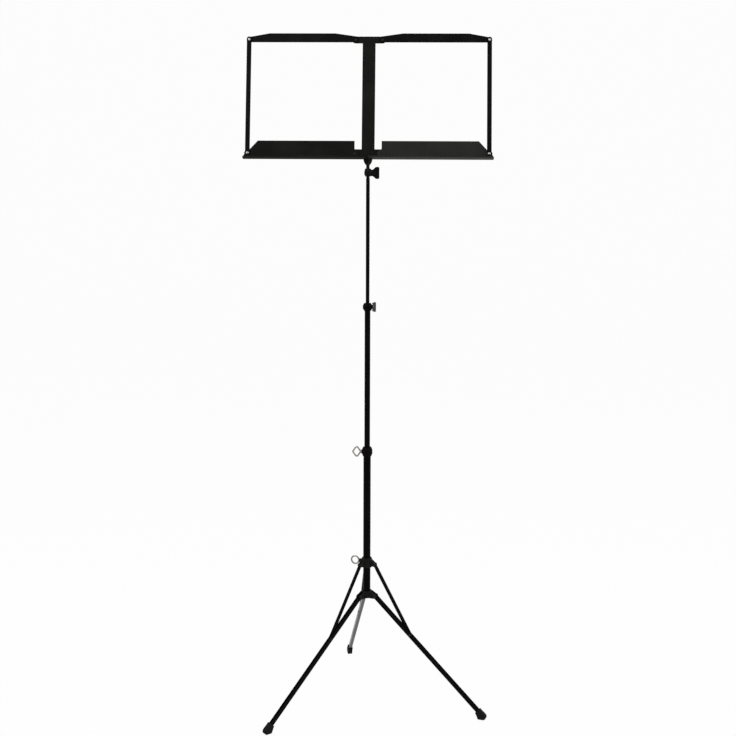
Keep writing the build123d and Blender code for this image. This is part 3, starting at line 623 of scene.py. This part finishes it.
@dataclass
class Workshop:
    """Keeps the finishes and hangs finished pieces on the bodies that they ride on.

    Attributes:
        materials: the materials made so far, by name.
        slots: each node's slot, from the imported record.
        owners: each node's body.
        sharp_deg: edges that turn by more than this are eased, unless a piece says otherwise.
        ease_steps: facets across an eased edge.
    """

    materials: dict[str, bpy.types.Material] = field(default_factory=dict)
    slots: dict[str, str] = field(default_factory=dict)
    owners: dict[str, str] = field(default_factory=dict)
    sharp_deg: float = 32.0
    ease_steps: int = 2

    def __post_init__(self) -> None:
        """Reads the record's slots and bodies."""
        record = frame["record"]
        self.slots = {entry["node"]: entry["material_slot"] for entry in record["subparts"]}
        for body, members in record["behaviour"]["bodies"].items():
            self.owners.update({node: body for node in members})

    def material(self, finish: Finish) -> bpy.types.Material:
        """Gives a finish's material, and makes it when it is first asked for.

        Args:
            finish: the finish.

        Returns:
            Its material.
        """
        if finish.name not in self.materials:
            self.materials[finish.name] = finish.build()
        return self.materials[finish.name]

    def stand_in(
        self,
        node: str,
        shape: Shape,
        finish: Finish | None = None,
        edge: Edge = Edge.MOULDED,
        sharp_deg: float | None = None,
    ) -> None:
        """Puts a shape in a CAD node's place, with its edges eased as deburred or moulded ones are.

        Args:
            node: the node's name.
            shape: the finished shape.
            finish: its finish, or None for its slot's.
            edge: its eased edges.
            sharp_deg: edges that turn by more than this are eased, or None for the usual angle.
        """
        slot = self.slots[node]
        chosen = finish or FINISHES[slot]
        hidden = frame["nodes"][node].data
        hidden.materials.clear()
        hidden.materials.append(self.material(chosen))
        piece = shape.finished(f"made_{node}")
        edges = piece.modifiers.new("eased_edges", "BEVEL")
        edges.width = edge.value * MM
        edges.segments = self.ease_steps
        edges.limit_method = "ANGLE"
        edges.angle_limit = math.radians(sharp_deg or self.sharp_deg)
        edges.use_clamp_overlap = False
        edges.miter_outer = "MITER_ARC"
        shading = piece.modifiers.new("flat_faces", "WEIGHTED_NORMAL")
        shading.keep_sharp = True
        self.hand_over(piece, self.owners[node], chosen)
        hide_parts(node)

    def ease(self, node: str, finish: Finish | None = None, edge: Edge = Edge.MOULDED) -> None:
        """Puts a node's own shape in its place, with eased edges.

        Args:
            node: the node's name.
            finish: its finish, or None for its slot's.
            edge: its eased edges.
        """
        self.stand_in(node, Shape.copied(node), finish, edge)

    def extra(self, name: str, shape: Shape, beside: str, finish: Finish | None = None) -> None:
        """Adds a small piece that rides with a node.

        Args:
            name: the piece's name.
            shape: its shape.
            beside: the node that it sits on.
            finish: its finish, or None for that of the node's slot.
        """
        slot = self.slots[beside]
        self.hand_over(shape.finished(name), self.owners[beside], finish or FINISHES[slot])

    def hand_over(self, piece: bpy.types.Object, body: str, finish: Finish) -> None:
        """Gives a piece its material and body.

        Args:
            piece: the piece.
            body: the CAD body that it rides on.
            finish: its finish.
        """
        piece.data.materials.append(self.material(finish))
        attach(piece, body)
        log.info("made %s", piece.name)


def joint(name: str) -> dict:
    """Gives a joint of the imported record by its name."""
    return next(entry for entry in frame["record"]["behaviour"]["joints"] if entry["name"] == name)


def middle(node: str) -> Vector:
    """Gives the middle of a node's box."""
    low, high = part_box(node)
    return (low + high) / 2


def everywhere(point: Vector) -> bool:
    """Says yes for every point, for a line that runs right round a piece."""
    return True


# ---- Mast ----


@dataclass
class Mast:
    """Two tubes and a rod that slide into each other, with their hidden bushes.

    Attributes:
        rub_mm: how far above a collar the sliding tube is rubbed.
    """

    rub_mm: float = 110.0

    def slide_finish(self, name: str, collar: str) -> SlideEnamel:
        """Gives the finish of a tube that slides in a collar.

        Args:
            name: the finish's name.
            collar: the collar's node.

        Returns:
            The finish.
        """
        base = TUBE_ENAMEL
        return SlideEnamel(
            name,
            base.colour,
            base.worn,
            base.roughness,
            base.rough_spread,
            base.level,
            base.grain_mm,
            base.grain_depth_mm,
            base.patch_mm,
            start=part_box(collar)[1].z,
            rub_mm=self.rub_mm,
        )

    def build(self, shop: Workshop) -> None:
        """Makes the tubes, the rod and the bushes.

        Args:
            shop: the workshop.
        """
        shop.ease("lower_tube")
        shop.ease("middle_tube", self.slide_finish("rubbed_enamel_on_middle_tube", "lower_collar"))
        shop.ease("top_rod", self.slide_finish("rubbed_enamel_on_rod", "upper_collar"))
        shop.ease("middle_tube_bush")
        shop.ease("rod_bush")


@dataclass
class ClampCollar:
    """A moulded collar with its threaded insert.

    Attributes:
        node: the collar's node; its insert's name follows from it.
        seam_mm: width of the line where the mould's halves met.
        seam_height_mm: how far that line stands proud.
        bore_share: the share of the collar's depth inside which no line is made.
    """

    node: str
    seam_mm: float = 0.7
    seam_height_mm: float = 0.12
    bore_share: float = 0.8

    def build(self, shop: Workshop) -> None:
        """Makes the collar and its insert.

        Args:
            shop: the workshop.
        """
        low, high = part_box(self.node)
        centre = Vector((0, (low.y + high.y) / 2, low.z))
        bore = self.bore_share * (high.y - low.y) / 2

        def outside(point: Vector) -> bool:
            """Says whether a point is on the collar's outer wall."""
            return math.hypot(point.x - centre.x, point.y - centre.y) > bore

        shape = Shape.copied(self.node)
        shape.line(centre, Vector((1, 0, 0)), self.seam_mm, self.seam_height_mm, outside)
        shop.stand_in(self.node, shape)
        shop.ease(f"{self.node}_insert", edge=Edge.TURNED)


@dataclass
class WingKnob:
    """A moulded wing knob with grip ribs on both faces of its wings.

    Attributes:
        node: the knob's node.
        name: the ribs' name.
        finish: the plastic's finish.
        thickness_mm: thickness of the knob's wings.
        seam_mm: width of the line where the mould's halves met.
        seam_height_mm: how far that line stands proud.
        boss_share: how far out the round boss reaches, as a share of the knob's length.
        boss_gap_mm: from the boss to the ribs.
        first_mm: height of the first rib above the screw.
        ribs: number of ribs on each wing.
        pitch_mm: distance from rib to rib.
        rib_mm: width of a rib.
        rib_rise_mm: how far a rib stands proud.
        rib_ease_mm: radius of a rib's edges.
        rim_mm: bare rim between the ribs and the wing's end.
        web_mm: length of the webs that stiffen the wings' roots, or 0 for none.
        web_height_mm: height of a web.
        web_rise_mm: from the screw to the middle of a web.
        web_out_mm: from the knob's inner end to the middle of a web.
        web_share: thickness of a web, as a share of a wing's.
        web_ease_mm: radius of a web's edges.
    """

    node: str
    name: str
    finish: Finish = KNOB_PLASTIC
    thickness_mm: float = 5.0
    seam_mm: float = 0.6
    seam_height_mm: float = 0.1
    boss_share: float = 0.65
    boss_gap_mm: float = 0.3
    first_mm: float = 1.8
    ribs: int = 5
    pitch_mm: float = 1.6
    rib_mm: float = 0.7
    rib_rise_mm: float = 0.3
    rib_ease_mm: float = 0.2
    rim_mm: float = 0.9
    web_mm: float = 0.0
    web_height_mm: float = 3.8
    web_rise_mm: float = 6.5
    web_out_mm: float = 0.8
    web_share: float = 0.7
    web_ease_mm: float = 1.0

    def build(self, shop: Workshop) -> None:
        """Makes the knob, its ribs and its webs.

        Args:
            shop: the workshop.
        """
        low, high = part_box(self.node)
        screw = middle(self.node)
        body = Shape.copied(self.node)
        body.line(screw, Vector((0, 1, 0)), self.seam_mm, self.seam_height_mm, everywhere)
        shop.stand_in(self.node, body, self.finish)
        start = low.x + self.boss_share * (high.x - low.x) + self.boss_gap_mm * MM
        end = high.x - self.rim_mm * MM
        ribbed_mm = self.thickness_mm + 2 * self.rib_rise_mm
        size = Vector((end - start, ribbed_mm * MM, self.rib_mm * MM))
        grip = Shape()
        for number in range(self.ribs):
            rise = (self.first_mm + number * self.pitch_mm) * MM
            for way in (-1, 1):
                place = Vector(((start + end) / 2, screw.y, screw.z + way * rise))
                grip.bar(place, size, self.rib_ease_mm)
        if self.web_mm:
            web = Vector((self.web_mm, self.web_share * self.thickness_mm, self.web_height_mm)) * MM
            out = low.x + self.web_out_mm * MM
            for way in (-1, 1):
                root = Vector((out, screw.y, screw.z + way * self.web_rise_mm * MM))
                grip.bar(root, web, self.web_ease_mm)
        shop.extra(self.name, grip, self.node, self.finish)


@dataclass
class WireScrew:
    """A screw with a bent wire handle, brazed to its flange.

    Attributes:
        node: the screw's node.
        turn: the joint that it turns on.
        flange_mm: from the joint's point to the flange's outer face.
        flange_radius_mm: the flange's radius.
        wire_radius_mm: the wire's radius.
        braze_mm: height of the fillet of braze.
        braze_share: the fillet's radius, as a share of the flange's.
        sink_mm: how far the fillet reaches into the flange.
        fillet_steps: facets along the fillet's curve.
    """

    node: str
    turn: str
    flange_mm: float = 1.4
    flange_radius_mm: float = 3.0
    wire_radius_mm: float = 1.5
    braze_mm: float = 1.3
    braze_share: float = 0.85
    sink_mm: float = 0.2
    fillet_steps: int = 5

    def build(self, shop: Workshop) -> None:
        """Makes the screw and the fillet of braze between its flange and its wire.

        Args:
            shop: the workshop.
        """
        shop.ease(self.node, edge=Edge.FORMED)
        screw = joint(self.turn)
        out = Vector(screw["axis"])
        foot = Vector(screw["pos_m"]) + out * (self.flange_mm * MM)
        inner, outer = self.wire_radius_mm, self.braze_share * self.flange_radius_mm
        arc = [math.radians(90 * step / self.fillet_steps) for step in range(self.fillet_steps + 1)]
        profile = [(0.0, -self.sink_mm), (outer, -self.sink_mm)]
        for turn in arc:
            radius = outer - (outer - inner) * math.sin(turn)
            profile.append((radius, self.braze_mm * (1 - math.cos(turn))))
        profile.append((0.0, self.braze_mm))
        braze = Shape()
        braze.turned(profile, foot, out)
        shop.extra(f"braze_{self.node}", braze, self.node)


# ---- Tripod ----


@dataclass
class Hub:
    """A moulded hub with forked arms, seamed where the mould's three slides met.

    Attributes:
        node: the hub's node.
        fold: joint of the leg that the first arm faces.
        arms: number of arms.
        wall_mm: radius inside which no seam is made.
        seam_mm: width of a seam.
        seam_height_mm: how far it stands proud.
    """

    node: str
    fold: str = f"{Leg.RIGHT.value}_leg_fold"
    arms: int = len(Leg)
    wall_mm: float = 9.0
    seam_mm: float = 0.7
    seam_height_mm: float = 0.12

    def build(self, shop: Workshop) -> None:
        """Makes the hub, with a seam halfway between each two arms.

        Args:
            shop: the workshop.
        """
        axis = Vector(joint(self.fold)["axis"])
        first = math.atan2(axis.x, -axis.y)
        centre = middle("lower_tube")
        shape = Shape.copied(self.node)
        half_deg = 180 / self.arms
        for number in range(self.arms):
            turn = first + math.radians(half_deg * (1 + 2 * number))
            out = Vector((math.cos(turn), math.sin(turn), 0))

            def on_seam(point: Vector) -> bool:
                """Says whether a point lies outwards on this seam's side of the hub."""
                return (point - centre).dot(out) > self.wall_mm * MM

            shape.line(centre, Vector((-out.y, out.x, 0)), self.seam_mm, self.seam_height_mm, on_seam)
        shop.stand_in(self.node, shape)


@dataclass
class Boot:
    """A rubber boot on a leg's end, with a beaded mouth and a grooved sole.

    Attributes:
        leg: the leg that wears it.
        slope_deg: the leg's slope below the horizontal.
        mouth_mm: from the leg's pivot to the boot's mouth.
        bead_in_mm: from the mouth to the middle of the bead.
        bead_mm: width of the bead round the mouth.
        bead_height_mm: how far the bead stands proud.
        sole_mm: the sole reaches this high above the floor.
        grooves: number of grooves across the sole.
        pitch_mm: distance from groove to groove.
        groove_mm: width of a groove.
        groove_depth_mm: depth of a groove.
        sharp_deg: edges that turn by more than this are eased.
    """

    leg: Leg
    slope_deg: float = 43.7
    mouth_mm: float = 294.5
    bead_in_mm: float = 1.3
    bead_mm: float = 1.8
    bead_height_mm: float = 0.35
    sole_mm: float = 0.2
    grooves: int = 3
    pitch_mm: float = 2.2
    groove_mm: float = 1.1
    groove_depth_mm: float = 0.4
    sharp_deg: float = 40.0

    def build(self, shop: Workshop) -> None:
        """Makes the boot.

        Args:
            shop: the workshop.
        """
        node = f"foot_{self.leg.value}"
        fold = joint(f"{self.leg.value}_leg_fold")
        axis = Vector(fold["axis"])
        out = Vector((-axis.y, axis.x, 0))
        slope = math.radians(self.slope_deg)
        along = out * math.cos(slope) - Vector((0, 0, math.sin(slope)))
        mouth = Vector(fold["pos_m"]) + along * (self.mouth_mm * MM)
        shape = Shape.copied(node)
        bead = mouth + along * (self.bead_in_mm * MM)
        shape.line(bead, along, self.bead_mm, self.bead_height_mm, everywhere)
        sole = middle(node)

        def on_sole(point: Vector) -> bool:
            """Says whether a point is on the boot's sole."""
            return point.z < self.sole_mm * MM

        for number in range(self.grooves):
            shift = (number - (self.grooves - 1) / 2) * self.pitch_mm * MM
            shape.line(sole + out * shift, out, self.groove_mm, -self.groove_depth_mm, on_sole)
        shop.stand_in(node, shape, edge=Edge.FORMED, sharp_deg=self.sharp_deg)


@dataclass
class Tripod:
    """The legs, their struts, both hubs and all their rivets.

    Attributes:
        leg_edge: the edges of the folded legs.
        strut_edge: the edges of the flat struts.
        rivet_edge: the edges of rivets, pins and the insert.
    """

    leg_edge: Edge = Edge.FORMED
    strut_edge: Edge = Edge.STRIP
    rivet_edge: Edge = Edge.PIN

    def build(self, shop: Workshop) -> None:
        """Makes the whole tripod.

        Args:
            shop: the workshop.
        """
        Hub("leg_hub").build(shop)
        Hub("slide_hub").build(shop)
        for node in ("hub_rivet", "leg_pivot_pins", "strut_head_rivets", "slide_hub_insert"):
            shop.ease(node, edge=self.rivet_edge)
        for leg in Leg:
            # The rear leg takes the lit copy of the leg enamel, painted lighter and glossier.
            enamel = LIT_REAR_LEG_ENAMEL if leg is Leg.REAR else LEG_ENAMEL
            shop.ease(f"leg_{leg.value}", enamel, self.leg_edge)
            shop.ease(f"strut_{leg.value}", edge=self.strut_edge)
            shop.ease(f"strut_rivet_{leg.value}", edge=self.rivet_edge)
            Boot(leg).build(shop)
        WireScrew("ring_screw", "hub_screw_turn").build(shop)


# ---- Desk ----


@dataclass
class TiltHead:
    """The cast head, its bolt, nut and wing knob.

    Attributes:
        edge: the edges of all but the knob.
    """

    edge: Edge = Edge.FORMED

    def build(self, shop: Workshop) -> None:
        """Makes the head.

        Args:
            shop: the workshop.
        """
        for node in ("tilt_block", "tilt_bolt", "tilt_nut", "neck_rivet"):
            shop.ease(node, edge=self.edge)
        WingKnob("tilt_knob", "tilt_knob_ribs").build(shop)


@dataclass
class Desk:
    """The spine, both ledges, the side bars and the upper arms, all of coated sheet steel.

    Attributes:
        sheet_edge: the deburred edges of the sheet.
        rivet_edge: the rivets' edges.
    """

    sheet_edge: Edge = Edge.SHEET
    rivet_edge: Edge = Edge.TURNED

    def build(self, shop: Workshop) -> None:
        """Makes the desk.

        Args:
            shop: the workshop.
        """
        shop.ease("desk_spine", edge=self.sheet_edge)
        shop.ease("spine_rivets", edge=self.rivet_edge)
        for wing in Wing:
            # The right half takes the lit copy of the desk enamel, painted greyer than the left.
            enamel = LIT_RIGHT_DESK_ENAMEL if wing is Wing.RIGHT else DESK_ENAMEL
            shop.ease(f"{wing.value}_ledge", enamel, self.sheet_edge)
            shop.ease(f"{wing.value}_side_bar", BAR_ENAMEL, self.sheet_edge)
            shop.ease(f"{wing.value}_upper_arm", BAR_ENAMEL, self.sheet_edge)
            shop.ease(f"{wing.value}_ledge_rivet", edge=self.rivet_edge)
            shop.ease(f"{wing.value}_side_bar_rivet", edge=self.rivet_edge)


# ---- Camera, light and floor ----


@dataclass(frozen=True)
class Lamp:
    """One soft square lamp.

    Attributes:
        name: the lamp's name.
        place: where it hangs.
        aim: the point that it faces.
        size: the length of its sides.
        power: its power in watts.
    """

    name: str
    place: tuple[float, float, float]
    aim: tuple[float, float, float]
    size: float
    power: float

    def hang(self) -> None:
        """Puts the lamp in the scene."""
        data = bpy.data.lights.new(self.name, "AREA")
        data.size = self.size
        data.energy = self.power
        lamp = bpy.data.objects.new(self.name, data)
        lamp.location = self.place
        ray = Vector(self.aim) - Vector(self.place)
        lamp.rotation_euler = ray.to_track_quat("-Z", "Y").to_euler()
        bpy.context.scene.collection.objects.link(lamp)


KEY_LAMP = Lamp("key_lamp", place=(-1.8, -1.6, 2.6), aim=(0, 0, 0.7), size=1.6, power=42.0)
FILL_LAMP = Lamp("fill_lamp", place=(2.2, -0.8, 1.6), aim=(0, 0, 0.7), size=1.4, power=22.0)


@dataclass
class Studio:
    """A pale room with soft light and one camera.

    Attributes:
        lens_mm: the lens's focal length.
        sensor_mm: width of the camera's sensor.
        camera_side: how far the camera stands right of the mast.
        camera_back: how far it stands in front of the mast.
        camera_height: its height above the floor.
        turn_deg: its turn to the left of straight ahead.
        pitch_deg: its tilt below the horizontal.
        roll_deg: its roll to the left about its line of sight.
        floor_half: half the floor's width.
        sweep_radius: radius of the bend between floor and backdrop.
        sweep_steps: facets along that bend.
        wall_height: height of the backdrop above the floor.
        paper_hex: the paper's sRGB colour under light.
        glow_share: how much of the paper's white is its own when it is looked at.
        room_light: strength of the room's light on the part.
        lamps: the lamps that hang in the room.
    """

    lens_mm: float = 64.844
    sensor_mm: float = 36.0
    camera_side: float = 0.0723
    camera_back: float = 2.479
    camera_height: float = 1.145
    turn_deg: float = 1.643
    pitch_deg: float = 10.738
    roll_deg: float = 0.17
    floor_half: float = 6.0
    sweep_radius: float = 1.5
    sweep_steps: int = 24
    wall_height: float = 5.0
    paper_hex: str = "f4f4f4"
    glow_share: float = 0.96
    room_light: float = 0.45
    lamps: tuple[Lamp, ...] = (KEY_LAMP, FILL_LAMP)

    def camera(self, mast_y: float) -> None:
        """Makes the camera.

        Args:
            mast_y: the mast's place along Y.
        """
        data = bpy.data.cameras.new("view")
        data.sensor_width = self.sensor_mm
        data.lens = self.lens_mm
        camera = bpy.data.objects.new("view", data)
        bpy.context.scene.collection.objects.link(camera)
        turn = Matrix.Rotation(math.radians(self.turn_deg), 4, "Z")
        tilt = Matrix.Rotation(math.radians(90 - self.pitch_deg), 4, "X")
        place = Matrix.Translation((self.camera_side, mast_y - self.camera_back, self.camera_height))
        roll = Matrix.Rotation(math.radians(self.roll_deg), 4, "Z")
        camera.matrix_world = place @ turn @ tilt @ roll
        bpy.context.scene.camera = camera

    def looked_at(self, tree: bpy.types.NodeTree) -> bpy.types.NodeSocket:
        """Tells rays that look at a surface, directly or in a mirror or glass, from rays of light.

        Args:
            tree: a node tree.

        Returns:
            1 for rays that look, 0 for the rest.
        """
        path = add(tree, "NodeLightPath").outputs
        bounced = {0: path["Is Glossy Ray"], 1: path["Is Transmission Ray"]}
        mirror = add(tree, "NodeMath", bounced, operation="MAXIMUM").outputs[0]
        looking = {0: path["Is Camera Ray"], 1: mirror}
        return add(tree, "NodeMath", looking, operation="MAXIMUM").outputs[0]

    def paper(self) -> bpy.types.Material:
        """Makes the matt white paper of floor and backdrop, which keeps shadows.

        Returns:
            The paper's material.
        """
        material = bpy.data.materials.new("studio_paper")
        tree = empty_tree(material)
        matt = add(tree, "NodeBsdfDiffuse", Color=linear(self.paper_hex)).outputs[0]
        glow = add(tree, "NodeEmission", Color=(1.0, 1.0, 1.0, 1.0), Strength=1.0).outputs[0]
        lit = add(tree, "NodeMixShader", {1: matt, 2: glow}, Fac=self.glow_share).outputs[0]
        both = add(tree, "NodeMixShader", {0: self.looked_at(tree), 1: matt, 2: lit})
        add(tree, "NodeOutputMaterial", {"Surface": both.outputs[0]})
        return material

    def floor(self) -> None:
        """Makes one sheet of paper that bends up into the backdrop."""
        shape = bmesh.new()
        start = shape.verts.new((-self.floor_half, -self.floor_half, 0))
        bend = shape.verts.new((-self.floor_half, self.floor_half - self.sweep_radius, 0))
        shape.edges.new((start, bend))
        spun = bmesh.ops.spin(
            shape,
            geom=[bend],
            cent=(-self.floor_half, self.floor_half - self.sweep_radius, self.sweep_radius),
            axis=(1, 0, 0),
            angle=math.pi / 2,
            steps=self.sweep_steps,
        )
        top = next(v for v in spun["geom_last"] if isinstance(v, bmesh.types.BMVert))
        wall = bmesh.ops.extrude_vert_indiv(shape, verts=[top])["verts"]
        bmesh.ops.translate(shape, verts=wall, vec=(0, 0, self.wall_height))
        swept = bmesh.ops.extrude_edge_only(shape, edges=shape.edges[:])["geom"]
        bmesh.ops.translate(
            shape,
            verts=[v for v in swept if isinstance(v, bmesh.types.BMVert)],
            vec=(2 * self.floor_half, 0, 0),
        )
        bmesh.ops.recalc_face_normals(shape, faces=shape.faces)
        mesh = bpy.data.meshes.new("studio_floor")
        shape.to_mesh(mesh)
        shape.free()
        mesh.shade_smooth()
        mesh.materials.append(self.paper())
        floor = bpy.data.objects.new("studio_floor", mesh)
        bpy.context.scene.collection.objects.link(floor)

    def room(self) -> None:
        """Makes the room's light: white where it is looked at, and a soft fill on the part."""
        world = bpy.data.worlds.new("studio_room")
        bpy.context.scene.world = world
        tree = empty_tree(world)
        seen = {"Value": self.looked_at(tree)}
        glow = add(tree, "NodeMapRange", seen, To_Min=self.room_light, To_Max=1.0).outputs["Result"]
        back = add(tree, "NodeBackground", {"Strength": glow}, Color=(1.0, 1.0, 1.0, 1.0))
        add(tree, "NodeOutputWorld", {"Surface": back.outputs[0]})

    def build(self, mast_y: float) -> None:
        """Sets up the whole studio.

        Args:
            mast_y: the mast's place along Y.
        """
        self.camera(mast_y)
        self.floor()
        for lamp in self.lamps:
            lamp.hang()
        self.room()
        bpy.context.scene.view_settings.view_transform = "Standard"


def main() -> None:
    """Builds the studio and every sub-assembly, in order."""
    Studio().build(middle("lower_tube").y)
    shop = Workshop()
    Tripod().build(shop)
    Mast().build(shop)
    ClampCollar("lower_collar").build(shop)
    WireScrew("lower_collar_screw", "lower_screw_turn").build(shop)
    ClampCollar("upper_collar").build(shop)
    shop.ease("upper_collar_screw", edge=Edge.PIN)
    # The collar knob's grey plastic is a painted highlight.
    collar_knob = WingKnob(
        "upper_collar_knob",
        "collar_knob_ribs",
        HIGHLIGHT_GREY_KNOB,
        first_mm=5.4,
        ribs=3,
        pitch_mm=1.2,
        rib_mm=0.6,
        rim_mm=0.6,
        web_mm=3.6,
    )
    collar_knob.build(shop)
    TiltHead().build(shop)
    Desk().build(shop)


if __name__ == "__main__":
    main()
